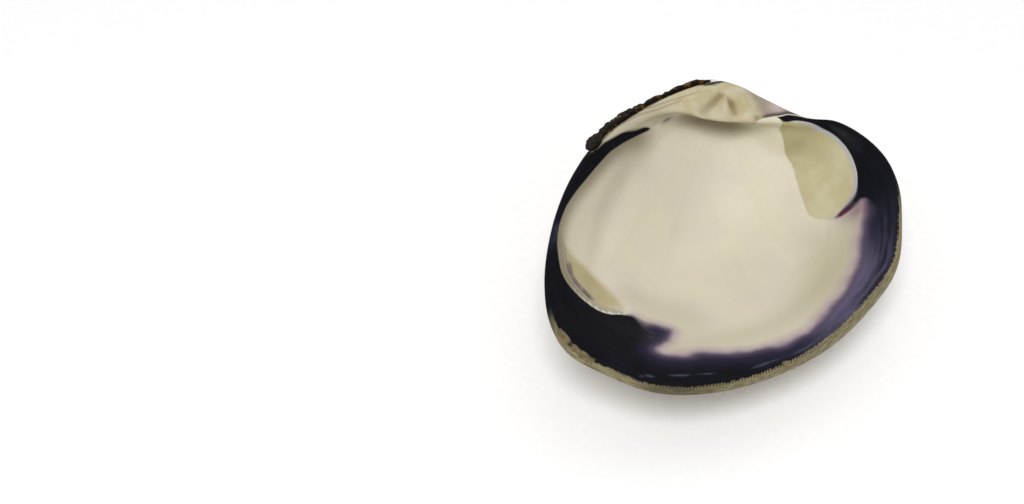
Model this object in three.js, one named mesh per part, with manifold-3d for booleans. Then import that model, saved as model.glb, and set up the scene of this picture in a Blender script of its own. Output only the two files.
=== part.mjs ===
// One valve of a hard clam, the left one, lying on its outer face with the hollow side up.
// The valve is one grown piece; a dried strip of the hinge ligament still clings to its back edge.
//
// Millimetres. The shell is first described in its own frame: x to the front end of the animal,
// y to the hinge, z out of the hollow, with the rim in the plane z = 0 and the beak near x = y = 0.
// It is then tilted into the pose in which it balances on its belly, with +Z up.

import * as THREE from "three";
import { mergeVertices } from "three/addons/utils/BufferGeometryUtils.js";
import Module from "manifold-3d";

const wasm = await Module();
wasm.setup();

// The rim's outline, seen from inside: hinge and beak, front end, belly edge, rear end, ligament.
const RIM_POINTS = [
  [-13.0, 1.8], [-3.5, 1.8], [2.6, -2.0], [6.6, -7.0], [15.4, -16.4],
  [23.0, -19.9], [27.8, -26.1], [30.2, -34.0], [29.2, -43.0], [25.0, -52.4],
  [16.9, -64.6], [4.2, -73.1], [-10.0, -79.3], [-24.8, -82.2], [-40.9, -82.1],
  [-54.7, -78.2], [-64.5, -70.3], [-70.6, -63.0], [-71.8, -54.5], [-69.0, -43.5],
  [-62.2, -30.5], [-54.5, -20.2], [-46.9, -12.7], [-38.0, -5.7], [-26.0, -1.0],
];
const HINGE_SPANS = 4; // the first spans between rim points carry the hinge plate
const HINGE_STEPS = 6; // columns of the mesh in each of them
const RIM_STEPS = 3; // columns in each of the others

// The outside grows as a spiral: each older rim is a smaller copy, turned about the hinge axis.
const AXIS_Y = 3.4; // the hinge axis runs along x at this place
const AXIS_Z = -6.0;
const COIL_RATE = 1.1; // shrinkage of the rim for each radian turned back towards the beak
const BEAK_TURN = 230; // degrees turned back at the beak's tip

// Growth ridges of the outside: low shingles, each ending in a small step.
const RIDGE_COUNT = 13;
const RIDGE_SMALLEST = 0.16; // size of the oldest ridge that still shows, as a share of the rim
const RIDGE_HEIGHT = 0.3;
const GROOVE_DEPTH = 0.3;
const GROOVE_SHARE = 0.016; // width of a groove, as a share of the rim's size

// The rim: a steep outer lip, thickest towards the front of the belly, and a rounded crest.
const LIP_MEAN = 1.5;
const LIP_SWING = 1.3;
const LIP_THICKEST_AT = -50; // degrees round the middle of the shell, from the front end
const LIP_LEAST = 0.7;
const LIP_AT_HINGE = 0.8;
const MIDDLE = [-21, -45]; // the middle of the outline
const LIP_FACE = { inset: 0.25, depth: 0.45 }; // inset from the edge, and depth as a share of the lip
const LIP_SHOULDER = { inset: 0.7, depth: 0.12 };
const CREST_INSET = 1.4;

// The hollow: a bowl whose wall leaves the rim gently and whose deepest point is near the beak.
const BOWL_POINT = [-16, -30];
const BOWL_DEPTH = 23.6;
const BOWL_POWER = 1.5; // how gently the wall leaves the rim
const BOWL_POWER_AT_BEAK = 0.65; // steep wall of the pocket under the hinge plate
const POCKET_LEVELS = [0.3, 0.85]; // the pocket's wall eases into the bowl between these levels
const BOWL_LEVELS = [0.04, 0.09, 0.16, 0.25, 0.36, 0.5, 0.65, 0.8, 0.91, 0.97, 0.993];
const POCKET_SPREAD = 50; // degrees round the bowl's deepest point, to either side of the beak

// The hinge plate: a shelf inside the beak that overhangs the pocket.
const SHELF_LEAST = 3.0; // width of the flat of the rim away from the hinge
const SHELF_EXTRA = 10.5; // what the hinge plate adds at its widest
const SHELF_WIDEST_X = -1.5;
const SHELF_TO_REAR = 14.5;
const SHELF_TO_FRONT = 11.5;
const PLATE_BULGE = 0.6; // how far the plate swells above the rim's plane
const SHELF_DROP = 0.3; // how far the shelf falls away to its edge, where its rounding starts
const SHELF_ROUNDING = 0.5;
const SHELF_BLEND = 1.2; // how softly the shelf runs out into the wall
const SHELF_EDGE_TOP = 1.0; // depth at which the shelf's edge starts to turn under
const SHELF_EDGE_FOOT = 7.0; // depth at which it has met the wall of the pocket
const HINGE_Y = [-26, -8]; // the rim counts as hinge from the first height up to the second

// The bench along the rear of the hinge, on which the ligament sits.
const BENCH_X = [-47, -42, -6, -1]; // fades in between the first two, out between the last two
const BENCH_DEPTH = 1.8;
const BENCH_WIDTH = [1.7, 1.0]; // at its rear and its front end
const BENCH_EDGE = 0.3; // height of the outer edge below the bench
const BENCH_STEP = 0.5; // lean of the step that rises from the bench
const BENCH_LEDGE = 2.0; // least width of the shelf left behind the bench

// Hinge teeth (raised) and sockets (sunk): soft ribs that fan out over the plate from the beak.
const HINGE_RIBS = [
  { from: [-7.0, -2.6], to: [-12.5, -5.0], width: 1.1, height: 0.5 },
  { from: [-3.8, -3.8], to: [-10.5, -7.2], width: 1.2, height: -1.2 },
  { from: [-3.6, -5.4], to: [-5.8, -10.0], width: 1.2, height: 1.0 },
  { from: [-2.2, -6.2], to: [-2.8, -10.6], width: 0.9, height: -1.5 },
  { from: [0.9, -6.4], to: [0.6, -11.8], width: 1.3, height: 1.0 },
];
const PLATE_RINGS = 8; // rings of the mesh across the plate

// The ligament: a ragged strip, thickest at its rear end.
const LIGAMENT_X = [-44.5, -2];
const LIGAMENT_GAP = 0.3; // clearance to the bench below it and the step behind it
const LIGAMENT_TOP = [1.3, 0.3]; // height above the rim's plane at its rear and its front end
const LIGAMENT_OVERHANG = [1.6, 0.2]; // reach beyond the valve's edge, rear and front
const LIGAMENT_LUMP = 0.35; // unevenness of its top
const LIGAMENT_LUMP_PITCH = 2.4; // radians from one section to the next
const LIGAMENT_TORN_END = 0.35; // size of its end sections, which grow to full size by these steps
const LIGAMENT_END_STEP = 0.3;

// The pose at rest.
const REST_TILT = 13; // degrees: the belly edge hangs lower than the hinge
const REST_ROLL = 1.5; // degrees: the front end hangs a little lower than the rear
const REST_CUT = 0.4; // depth of the worn spot that the valve stands on

const radians = THREE.MathUtils.degToRad;
const smooth = THREE.MathUtils.smoothstep;
const mix = THREE.MathUtils.lerp;
const hump = (x, middle, toRear, toFront) =>
  Math.exp(-(((x - middle) / (x < middle ? toRear : toFront)) ** 2));

// Direction from the beak to the bowl's deepest point.
const BEAK_INWARD = new THREE.Vector3(BOWL_POINT[0] - SHELF_WIDEST_X, BOWL_POINT[1], 0).normalize();

// The mesh's columns: one place on the rim each, with everything that varies along the rim.
function rimColumns() {
  const spans = RIM_POINTS.length;
  const curve = new THREE.CatmullRomCurve3(
    RIM_POINTS.map(([x, y]) => new THREE.Vector3(x, y, 0)),
    true,
    "centripetal",
  );
  const places = RIM_POINTS.flatMap((_, span) => {
    const steps = span < HINGE_SPANS ? HINGE_STEPS : RIM_STEPS;
    return Array.from({ length: steps }, (_, i) => (span + i / steps) / spans);
  });
  return places.map((place) => {
    const rim = curve.getPoint(place);
    const inward = new THREE.Vector3(BOWL_POINT[0] - rim.x, BOWL_POINT[1] - rim.y, 0);
    const reach = inward.length();
    inward.normalize();
    const round = Math.atan2(rim.y - MIDDLE[1], rim.x - MIDDLE[0]);
    const hinge = smooth(rim.y, ...HINGE_Y);
    const belly = LIP_MEAN + LIP_SWING * Math.cos(round - radians(LIP_THICKEST_AT));
    const plate = hinge * hump(rim.x, SHELF_WIDEST_X, SHELF_TO_REAR, SHELF_TO_FRONT);
    const bench = hinge * smooth(rim.x, BENCH_X[0], BENCH_X[1]) * (1 - smooth(rim.x, BENCH_X[2], BENCH_X[3]));
    const benchWidth = mix(...BENCH_WIDTH, smooth(rim.x, BENCH_X[1], BENCH_X[2]));
    return {
      rim,
      inward,
      reach,
      hinge,
      plate,
      bench,
      benchWidth,
      tangent: curve.getTangent(place),
      lip: mix(mix(Math.max(belly, LIP_LEAST), LIP_AT_HINGE, hinge), BENCH_DEPTH + BENCH_EDGE, bench),
      shelf: mix(SHELF_LEAST, benchWidth + BENCH_LEDGE, bench) + SHELF_EXTRA * plate,
      pocket: Math.exp(-((inward.angleTo(BEAK_INWARD) / radians(POCKET_SPREAD)) ** 2)),
    };
  });
}

// A point of the outside: the rim as it was when the shell was smaller.
function outsidePoint(column, size) {
  const turn = -Math.log(size) / COIL_RATE;
  const y = column.rim.y - AXIS_Y;
  const z = -AXIS_Z;
  return new THREE.Vector3(
    size * column.rim.x,
    AXIS_Y + size * (y * Math.cos(turn) - z * Math.sin(turn)),
    AXIS_Z + size * (y * Math.sin(turn) + z * Math.cos(turn)) - column.lip * size * size,
  );
}

// The same point raised along the surface's normal by a growth ridge, which fades at the hinge.
function ridgePoint(column, size, raised) {
  const point = outsidePoint(column, size);
  const turn = -Math.log(size) / COIL_RATE;
  const along = column.tangent.clone().applyAxisAngle(new THREE.Vector3(1, 0, 0), turn);
  const older = outsidePoint(column, size * 0.99);
  const normal = along.cross(older.sub(point)).normalize();
  return point.addScaledVector(normal, raised * (1 - column.hinge));
}

// The rings of the outside, from the beak to the rim.
function outsideRings(columns) {
  const tip = Math.exp(-COIL_RATE * radians(BEAK_TURN));
  const rings = [];
  const add = (size, raised) => rings.push(columns.map((c) => ridgePoint(c, size, raised)));
  for (const share of [0, 0.15, 0.35, 0.65]) add(mix(tip, RIDGE_SMALLEST, share), 0);
  for (let i = 0; i < RIDGE_COUNT; i++) {
    const crest = mix(RIDGE_SMALLEST, 1, (i + 0.5) / RIDGE_COUNT);
    const worn = smooth(crest, 0, 0.6); // the oldest ridges are rubbed flat
    add(crest, RIDGE_HEIGHT * worn);
    add(crest + GROOVE_SHARE, -GROOVE_DEPTH * worn);
  }
  add(1, 0);
  return rings;
}

// Height of the hinge's teeth and depth of its sockets at a place on the plate.
function hingeRelief(x, y) {
  return HINGE_RIBS.reduce((sum, { from, to, width, height }) => {
    const line = new THREE.Line3(new THREE.Vector3(...from, 0), new THREE.Vector3(...to, 0));
    const place = new THREE.Vector3(x, y, 0);
    const nearest = line.closestPointToPoint(place, true, new THREE.Vector3());
    return sum + height * Math.exp(-((nearest.distanceTo(place) / width) ** 2));
  }, 0);
}

// The rings of the lip, the hinge plate and the hollow, from the rim to the bowl's deepest point.
function insideRings(columns) {
  const at = (column, inset, z) => column.rim.clone().addScaledVector(column.inward, inset).setZ(z);
  const crest = (c) => mix(CREST_INSET, c.benchWidth + BENCH_STEP, c.bench);
  const rings = [
    columns.map((c) => at(c, LIP_FACE.inset, -mix(LIP_FACE.depth * c.lip, BENCH_DEPTH, c.bench))),
    columns.map((c) => {
      const inset = mix(LIP_SHOULDER.inset, c.benchWidth, c.bench);
      return at(c, inset, -mix(LIP_SHOULDER.depth * c.lip, BENCH_DEPTH, c.bench));
    }),
    columns.map((c) => at(c, crest(c), 0)),
  ];
  for (let i = 1; i <= PLATE_RINGS; i++) {
    const share = i / (PLATE_RINGS + 1);
    const bulge = PLATE_BULGE * Math.sin(Math.PI * share);
    rings.push(
      columns.map((c) => {
        const inset = mix(crest(c), c.shelf - SHELF_ROUNDING, share);
        const point = at(c, inset, bulge * c.plate - SHELF_DROP * share);
        point.z += hingeRelief(point.x, point.y);
        return point;
      }),
    );
  }
  rings.push(columns.map((c) => at(c, c.shelf - SHELF_ROUNDING, -SHELF_DROP)));
  for (const level of BOWL_LEVELS) {
    const depth = BOWL_DEPTH * level;
    const under = 1 - smooth(depth, SHELF_EDGE_TOP, SHELF_EDGE_FOOT);
    const upper = 1 - smooth(level, ...POCKET_LEVELS);
    rings.push(
      columns.map((c) => {
        const power = mix(BOWL_POWER, BOWL_POWER_AT_BEAK, c.pocket * upper);
        const share = (2 / Math.PI) * Math.asin(level ** (1 / power));
        const wall = CREST_INSET + (c.reach - CREST_INSET) * share;
        const over = c.shelf - wall;
        return at(c, wall + ((over + Math.hypot(over, SHELF_BLEND)) / 2) * under, -depth);
      }),
    );
  }
  return rings;
}

const centre = (ring) =>
  ring.reduce((sum, point) => sum.addScaledVector(point, 1 / ring.length), new THREE.Vector3());

// A closed skin over rings of equal length, with a point to close each end.
function skin(rings, firstPoint, lastPoint) {
  const width = rings[0].length;
  const points = [firstPoint, ...rings.flat(), lastPoint];
  const at = (ring, i) => 1 + ring * width + (i % width);
  const last = points.length - 1;
  const faces = [];
  for (let i = 0; i < width; i++) {
    faces.push(0, at(0, i), at(0, i + 1));
    for (let ring = 0; ring + 1 < rings.length; ring++) {
      const [a, b] = [at(ring, i), at(ring, i + 1)];
      const [c, d] = [at(ring + 1, i + 1), at(ring + 1, i)];
      faces.push(a, d, c, a, c, b);
    }
    faces.push(at(rings.length - 1, i), last, at(rings.length - 1, i + 1));
  }
  return new THREE.BufferGeometry().setFromPoints(points).setIndex(faces);
}

// A closed geometry as a solid that can be cut.
function solid(geometry) {
  const bare = new THREE.BufferGeometry().setAttribute("position", geometry.getAttribute("position"));
  bare.setIndex(geometry.getIndex());
  const merged = mergeVertices(bare, 1e-4);
  const vertProperties = new Float32Array(merged.getAttribute("position").array);
  const triVerts = new Uint32Array(merged.getIndex().array);
  return new wasm.Manifold(new wasm.Mesh({ numProp: 3, vertProperties, triVerts }));
}

// A solid's surface as geometry again.
function geometryOf(body) {
  const mesh = body.getMesh();
  return new THREE.BufferGeometry()
    .setAttribute("position", new THREE.BufferAttribute(mesh.vertProperties, 3))
    .setIndex(new THREE.BufferAttribute(mesh.triVerts, 1));
}

// The valve: the outside's rings, then the inside's, as one skin.
function valveGeometry(columns) {
  const outside = outsideRings(columns);
  const floor = new THREE.Vector3(...BOWL_POINT, -BOWL_DEPTH);
  return skin([...outside, ...insideRings(columns)], centre(outside[0]), floor);
}

// The ligament's strip: a lumpy section carried along the bench.
function ligamentGeometry(columns) {
  const [rear, front] = LIGAMENT_X;
  const held = columns
    .filter((c) => c.hinge > 0.5 && c.rim.x > rear && c.rim.x < front)
    .sort((a, b) => a.rim.x - b.rim.x);
  const rings = held.map((c, i) => {
    const toFront = (c.rim.x - rear) / (front - rear);
    const fromEnd = Math.min(i, held.length - 1 - i);
    const end = Math.sqrt(Math.min(1, LIGAMENT_TORN_END + fromEnd * LIGAMENT_END_STEP));
    const lump = LIGAMENT_LUMP * Math.sin(i * LIGAMENT_LUMP_PITCH) * (1 - toFront);
    const out = -mix(...LIGAMENT_OVERHANG, toFront) * end;
    const inner = mix(LIGAMENT_GAP, c.benchWidth - LIGAMENT_GAP, c.bench);
    const foot = LIGAMENT_GAP - BENCH_DEPTH * c.bench;
    const top = foot + (mix(...LIGAMENT_TOP, toFront) - foot + lump) * end;
    const section = [
      [out * 0.6, foot], [inner, foot], [inner, mix(foot, top, 0.6)],
      [mix(out, inner, 0.7), top], [mix(out, inner, 0.25), mix(foot, top, 0.95)], [out, mix(foot, top, 0.5)],
    ];
    return section.map(([inset, z]) => c.rim.clone().addScaledVector(c.inward, inset).setZ(z));
  });
  return skin(rings, centre(rings[0]), centre(rings[rings.length - 1]));
}

// The turn from the shell's own frame into the pose in which it balances.
function restPose() {
  const tilt = new THREE.Matrix4().makeRotationX(radians(REST_TILT));
  return new THREE.Matrix4().makeRotationY(radians(REST_ROLL)).multiply(tilt);
}

// The lowest spot worn flat, so that the shell stands on a face.
function wornFlat(geometry) {
  geometry.computeBoundingBox();
  const { min, max } = geometry.boundingBox;
  const floor = new THREE.BoxGeometry(2 * (max.x - min.x), 2 * (max.y - min.y), 2 * REST_CUT);
  floor.translate((min.x + max.x) / 2, (min.y + max.y) / 2, min.z);
  return geometryOf(solid(geometry).subtract(solid(floor)));
}

const shellMaterial = new THREE.MeshStandardMaterial({ color: 0xd2cbb2, roughness: 0.45, metalness: 0 });
const ligamentMaterial = new THREE.MeshStandardMaterial({ color: 0x2b2115, roughness: 0.8, metalness: 0 });

const columns = rimColumns();
const pose = restPose();
const valve = new THREE.Mesh(wornFlat(valveGeometry(columns).applyMatrix4(pose)), shellMaterial);
valve.name = "valve";
const ligament = new THREE.Mesh(ligamentGeometry(columns).applyMatrix4(pose), ligamentMaterial);
ligament.name = "ligament";

// The group's origin: the middle of the box round the shell, on the surface that it rests on.
const shell = new THREE.Group();
shell.add(valve, ligament);
const box = new THREE.Box3().setFromObject(shell);
const footing = box.getCenter(new THREE.Vector3()).setZ(box.min.z);
for (const piece of shell.children) piece.position.copy(footing).negate();

export default shell;
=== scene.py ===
# One valve of a hard clam, lying on its outer face with the hollow side up, and its torn ligament.
# The shell is described in millimetres in its own frame, as the solids are: x to the front end of
# the animal, y to the hinge, z out of the hollow, with the rim in z = 0 and the beak near x = y = 0.

import math
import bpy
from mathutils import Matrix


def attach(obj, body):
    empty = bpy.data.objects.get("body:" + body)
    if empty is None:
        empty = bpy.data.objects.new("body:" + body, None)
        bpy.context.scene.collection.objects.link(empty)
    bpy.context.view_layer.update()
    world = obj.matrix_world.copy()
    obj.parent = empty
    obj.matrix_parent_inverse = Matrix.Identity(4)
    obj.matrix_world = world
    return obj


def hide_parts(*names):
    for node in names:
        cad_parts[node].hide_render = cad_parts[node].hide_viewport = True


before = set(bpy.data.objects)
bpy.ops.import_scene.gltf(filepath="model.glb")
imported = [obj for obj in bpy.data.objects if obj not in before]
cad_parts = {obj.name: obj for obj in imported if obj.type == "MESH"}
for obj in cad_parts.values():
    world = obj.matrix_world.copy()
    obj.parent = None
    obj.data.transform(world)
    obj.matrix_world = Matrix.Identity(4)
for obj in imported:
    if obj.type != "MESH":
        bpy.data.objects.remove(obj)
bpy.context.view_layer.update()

from types import SimpleNamespace

import bpy
import numpy as np
from mathutils import Matrix, Vector, noise

MM = 0.001

# The rim's outline, seen from inside: hinge and beak, front end, belly edge, rear end, ligament.
RIM_POINTS = [
    (-13.0, 1.8), (-3.5, 1.8), (2.6, -2.0), (6.6, -7.0), (15.4, -16.4),
    (23.0, -19.9), (27.8, -26.1), (30.2, -34.0), (29.2, -43.0), (25.0, -52.4),
    (16.9, -64.6), (4.2, -73.1), (-10.0, -79.3), (-24.8, -82.2), (-40.9, -82.1),
    (-54.7, -78.2), (-64.5, -70.3), (-70.6, -63.0), (-71.8, -54.5), (-69.0, -43.5),
    (-62.2, -30.5), (-54.5, -20.2), (-46.9, -12.7), (-38.0, -5.7), (-26.0, -1.0),
]
RIM_SAMPLES = 120  # points of the finely drawn outline between two rim points
HINGE_SPANS = 4  # the first spans between rim points carry the hinge plate
HINGE_PITCH = 0.34  # from one column of the mesh to the next along the hinge
TOOTH_PITCH = 0.8  # and along the rest of the rim, where each column carries one fine tooth
TOOTH_STEPS = 4  # columns for each of those where the rim has its teeth

# The outside grows as a spiral: each older rim is a smaller copy, turned about the hinge axis.
AXIS_Y = 3.4  # the hinge axis runs along x at this place
AXIS_Z = -6.0
COIL_RATE = 1.1  # shrinkage of the rim for each radian turned back towards the beak
BEAK_TURN = 230  # degrees turned back at the beak's tip
BEAK_RINGS = 14

# Growth ridges of the outside: low shingles, each ending in a small step, with finer lines between.
RIDGE_COUNT = 13
RIDGE_SMALLEST = 0.16  # size of the oldest ridge, as a share of the rim
RIDGE_HEIGHT = 0.3
GROOVE_DEPTH = 0.3
GROOVE_SHARE = 0.016  # width of a groove, in the same way
RIDGE_RINGS = (0, 0.2, 0.33, 0.47, 0.6, 0.74, 0.88)  # rings of the mesh from one ridge to the next
LINE_HEIGHT = 0.07
LARGEST_RING = 0.995  # the ridges end just short of the rim

# The rim: a steep outer lip, thickest towards the front of the belly, and a rounded crest.
LIP_MEAN = 1.5
LIP_SWING = 1.3
LIP_THICKEST_AT = -50  # degrees round the middle, from the front end
LIP_LEAST = 0.7
LIP_AT_HINGE = 0.8
MIDDLE = (-21, -45)  # the middle of the outline
LIP_FACE = (0.25, 0.45)  # inset from the edge, and depth as a share of the lip
LIP_SHOULDER = (0.7, 0.12)
CREST_INSET = 1.4
TOOTH_DEPTH = 0.16
TEETH_STRONGEST = (-105, 32, 40)  # degrees round the middle, with the spread to either side
TEETH_LEAST = 0.35  # their strength elsewhere on the belly edge
TEETH_Y = (-60, -40)  # they fade out between these
TOOTH_INSETS = (0.45, 0.9, 1.7, 2.3)  # the teeth fade in and out between these insets

# The hollow: a bowl whose wall leaves the rim gently and whose deepest point is near the beak.
BOWL_POINT = (-16, -30)
BOWL_DEPTH = 23.6
BOWL_POWER = 1.5  # how gently the wall leaves the rim
BOWL_POWER_AT_BEAK = 0.65  # steep wall of the pocket under the plate
POCKET_LEVELS = (0.3, 0.85)  # its wall eases into the bowl between these
BOWL_LEVELS = (0.04, 0.09, 0.16, 0.25, 0.36, 0.5, 0.65, 0.8, 0.91, 0.97, 0.993)
POCKET_SPREAD = 50  # degrees to either side of the beak

# The hinge plate: a shelf inside the beak that overhangs the pocket.
SHELF_LEAST = 3.0  # width of the flat of the rim away from the hinge
SHELF_EXTRA = 10.5  # what the hinge plate adds at its widest
SHELF_WIDEST_X = -1.5
SHELF_TO_REAR = 14.5
SHELF_TO_FRONT = 11.5
PLATE_BULGE = 0.6  # swelling above the rim's plane
SHELF_DROP = 0.3  # how far it falls away to its edge
SHELF_ROUNDING = 0.5
SHELF_BLEND = 1.2  # how softly the shelf runs out into the wall
SHELF_EDGE = (1.0, 7.0)
HINGE_Y = (-26, -8)  # the rim turns into the hinge between these
PLATE_RINGS = 8

# How the inside's mesh is divided: rings drawn between the rings that shape it, and columns.
LIP_STEPS = [3, 3, 3]
PLATE_STEPS = [2] * (PLATE_RINGS + 1)
BOWL_STEPS = [3, 3, 3, 3, 3, 3, 3, 3, 2, 2, 1]
FINE_RINGS = sum(LIP_STEPS) + 3  # rings of the inside that have the columns for the fine teeth
COARSE = slice(None, None, TOOTH_STEPS)  # the columns that all rings have
DEEPEST_INSET = 40  # taken for the deepest point, where the streaks meet

# The bench along the rear of the hinge, on which the ligament sits.
BENCH_X = (-47, -42, -6, -1)  # fades in between the first two, out between the last two
BENCH_DEPTH = 1.8
BENCH_WIDTH = (1.7, 1.0)  # at its rear and its front end
BENCH_EDGE = 0.3  # height of the outer edge below the bench
BENCH_STEP = 0.5  # lean of the step that rises from the bench
BENCH_LEDGE = 2.0  # least width of the shelf left behind the bench

# Hinge teeth (raised) and sockets (sunk): from, to, width, height. Each gets lower and wider along its run.
HINGE_RIBS = [
    ((-7.0, -2.6), (-12.5, -5.0), 1.1, 0.5),
    ((-3.8, -3.8), (-10.5, -7.2), 1.5, -1.1),
    ((-3.6, -5.4), (-5.8, -10.0), 1.3, 1.0),
    ((-2.2, -6.4), (-2.7, -9.8), 1.2, -1.3),
    ((0.9, -6.4), (0.6, -11.8), 1.3, 1.0),
]
RIB_HEIGHTS = (1.1, 0.7)
RIB_WIDTHS = (0.75, 1.3)

# The markings of the inside, as outlines and lines in the shell's own frame. The cream of the hollow and
# the rear scar share the border at the rear end.
REAR_BORDER = [
    (-62, -34.5), (-63.2, -38.5), (-63.8, -42), (-63.4, -45), (-62, -47.7), (-60, -50.3), (-57.8, -52.3),
    (-55, -53.4), (-51.7, -53.7),
]
CREAM_OUTLINE = [
    (-22.8, -6), (-25.6, -7), (-30.8, -8.6), (-35.1, -10.3), (-38.6, -12.1), (-42.2, -14.5), (-48.3, -18.9),
    (-54.4, -23.7), (-57.5, -27), (-60, -30.5), *REAR_BORDER, (-49, -54), (-46.5, -57), (-44, -58.5),
    (-41.5, -61.4), (-44, -64), (-47, -65.8), (-49.5, -67), (-48, -68.6), (-44, -70), (-40, -70.5),
    (-35.5, -72), (-26.5, -74.5), (-16, -74.6), (-7.6, -71.1), (4, -63.2), (11.1, -56), (14.9, -49.4),
    (17.4, -46.1), (19.2, -42.9), (18.5, -43.3), (16, -43.8), (12.2, -43.5), (16.2, -41.4), (19, -39.5),
    (20.7, -37), (21.7, -34.5), (22.3, -31), (22, -27), (20.7, -23.5), (18.7, -21), (15.8, -19),
    (12.4, -17.3), (8.5, -16), (6, -12), (3, -5), (-3, 0), (-12, 0), (-18, -3),
]
HINGE_OUTLINE = [
    (-43.4, -11.2), (-39.8, -9.7), (-36.7, -8.6), (-33.6, -7.6), (-29.5, -6.8), (-25.5, -5.9), (-20.5, -6.4),
    (-16, -7.8), (-13, -8.6), (-10, -10), (-6.5, -12.2), (-2.6, -14), (0.6, -14.4), (3.2, -14), (6.6, -14.2),
    (8.5, -14.5), (10.7, -14.6), (13, -15.6), (16, -17), (18, -14), (8, -4), (4, 3), (-10, 5), (-30, 3),
    (-44, -6),
]
FRONT_SCAR = [
    (8.1, -15.5), (8.8, -17.5), (9.2, -20.5), (10, -24), (9.6, -28), (9.1, -32), (8.5, -36), (8.2, -39),
    (9.4, -41.4), (11.4, -42.6), (13, -42.7), (15.7, -41.4), (18.5, -39.3), (20.3, -36.8), (21.2, -34.2),
    (21.8, -30.5), (21.5, -26.8), (20.2, -23.4), (18.2, -20.9), (15.2, -19), (11.7, -17.2),
]
REAR_SCAR = [
    (-59.8, -33.9), (-58, -36.8), (-55, -39.7), (-52.4, -42.8), (-50.6, -45.8), (-49.5, -49.5),
    (-49.3, -53.6), *reversed(REAR_BORDER),
]
REAR_SCAR_EDGE = [(-58.6, -28.4), (-60.5, -31.5), *REAR_BORDER, (-48.5, -54.2)]
REAR_CRESCENT = [(-61.3, -41.5), (-60.5, -44.5), (-59, -47.5)]
PALLIAL_LINE = [
    (10.4, -43.5), (8.6, -47.8), (5.9, -52.4), (-1, -60.2), (-8, -65), (-14.5, -67.4), (-22, -68),
]
NYMPH_LINES = [
    [(-40.2, -7.4), (-36.8, -6.1), (-32.2, -4.3), (-26.3, -2.6), (-22.5, -2.5), (-17.2, -1.9), (-9, -1.4)],
    [(-34, -5.8), (-27.5, -3.9), (-22, -3.6), (-15, -2.7)],
]
# Where a thin painted highlight runs along the shoulder inside the belly edge.
HIGHLIGHT_LINE = [
    (-57, -73.6), (-49, -75.9), (-43.8, -76.7), (-38.6, -78.6), (-33.7, -78.9), (-27.7, -79.4), (-20.5, -79),
    (-16.2, -78.4), (-8, -75.4),
]
CHIPS = [
    (-70.6, -58), (-69.9, -60), (-68.6, -62.3), (-67.6, -64.3), (-66.8, -66.5), (-58.8, -76), (-23, -81.4),
]
CHIP_RADIUS = 1.7
CHIP_DEPTH = 0.5
CHIP_INSETS = (0, 0.6, 2.4, 3.6)  # the chips fade in and out between these insets
SCAR_DEPTH = 0.3
SCAR_STEP = (-0.3, 0.5)  # the step down into a scar, from outside its outline to inside it
PALLIAL_GROOVE = (0.12, 0.5)  # depth and width
NYMPH_GROOVE = (0.07, 0.35)
SWELL_HEIGHT = 0.12  # soft unevenness of the hollow
SWELL_INSETS = (3, 9)
HINGE_RELIEF_Z = (-3, -0.6)  # the hinge's relief fades in between these heights
HINGE_RELIEF_INSETS = (0.8, 2)

# Round spots of colour: place and radius.
RED_SPOT = ((14.5, -43.6), 3)
PINK_SPOT = ((18.2, -44.6), 4.5)
LILAC_SPOT = ((8.8, -11.5), 2.2)
SINUS_SPOT = ((-47.5, -62), 4)
REAR_SLATE_SPOT = ((-62.3, -32.2), 4)
PURPLE_TIP = ((-18.8, -4.7), 0.9)  # along the hinge and below the rim, drawn out to twice its width
BROWN_SPOTS = [(2.2, -13.4), (4.6, -14.2)]
BROWN_RADIUS = 1
CRESCENT_RADIUS = 2.6

# Where the colours fade from nothing to all. Down is away from the hinge, back is towards the rear end.
FRINGE = (0.35, 3.4)  # width of the purple fringe where it is sharp and where it is soft
SOFT_DOWN = (36, 54)
SHARP_BACK = (43, 54)
SHARP_Y = (-66, -55)
HINGE_FOOT = (4.4, 2.2)  # how far the hinge colours reach down behind and in front
HINGE_FOOT_X = (-21, -16)
UNDER_PLATE = (-2, -16)  # z below the first and y above the second lies under the plate
POCKET_FRONT = (5, 8)
POCKET_REAR = (-24, -21.5)  # the dark wedge under the plate tapers to nothing between these
POCKET_INSIDE = (1, 7)  # painted shade in the pocket under the plate: inwards from the plate's outline, and downwards
POCKET_DEEP = (2, 7)
PALLIAL_BACK = (2, 24)
REAR_EDGE_BACK = (48, 54)
REAR_EDGE_DOWN = (29, 36)
SHADE_BACK = (20, 30)  # painted shade along the steep rear edge of the cream
SHADE_DOWN = (44, 54)
SHADE_NEAR = (0.65, 3.5)  # strength and reach of its inner and its outer part
SHADE_FAR = (0.3, 12)
STRIP_X = (-20, 5)  # the greyer strip along the belly, weaker at the rear
STRIP_LEAST = 0.45
STRIP_REACH = (6, 16)
SCAR_RIM_X = (9.5, 13)
SCAR_TOP_Y = (-30, -17)
LUNULE_X = (2, 5.5)
NYMPH_BACK = (13, 24)
CREVICE_X = (-5.5, 4)  # painted shadow in the crevice behind the beak: middle and half length
CREVICE_Y = (-4, -1)
CREVICE_WIDTH = 2.4
SLATE_AT = -48  # degrees round the middle: where the dark band is palest
SLATE_SPREAD = 38
TAN_FROM = (-4, 8)  # the tan lip starts and ends between these angles, clockwise from the front end
TAN_TO = (164, 174)
TAN_WORN = 0.45  # what is left of the tan where the lip is worn
WORN_AND_SHADED_AT = (-131, 9, 13)  # where the lip is worn and the outside below it gets painted shadow: degrees round the middle, with the spread to either side
GROWTH_REACH = 90  # length of the outside from the beak to the rim
FLOW_STRETCH = 4  # how much the streaks along the rim are drawn out
NOT_THERE = 9  # distance given to the outside for the markings of the inside
OUTSIDE_FIELDS = {
    **dict.fromkeys(("dark", "front_scar", "rear_scar", "hinge"), -NOT_THERE),
    **dict.fromkeys(("pallial", "rear_edge", "nymph", "blue"), NOT_THERE),
}

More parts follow.
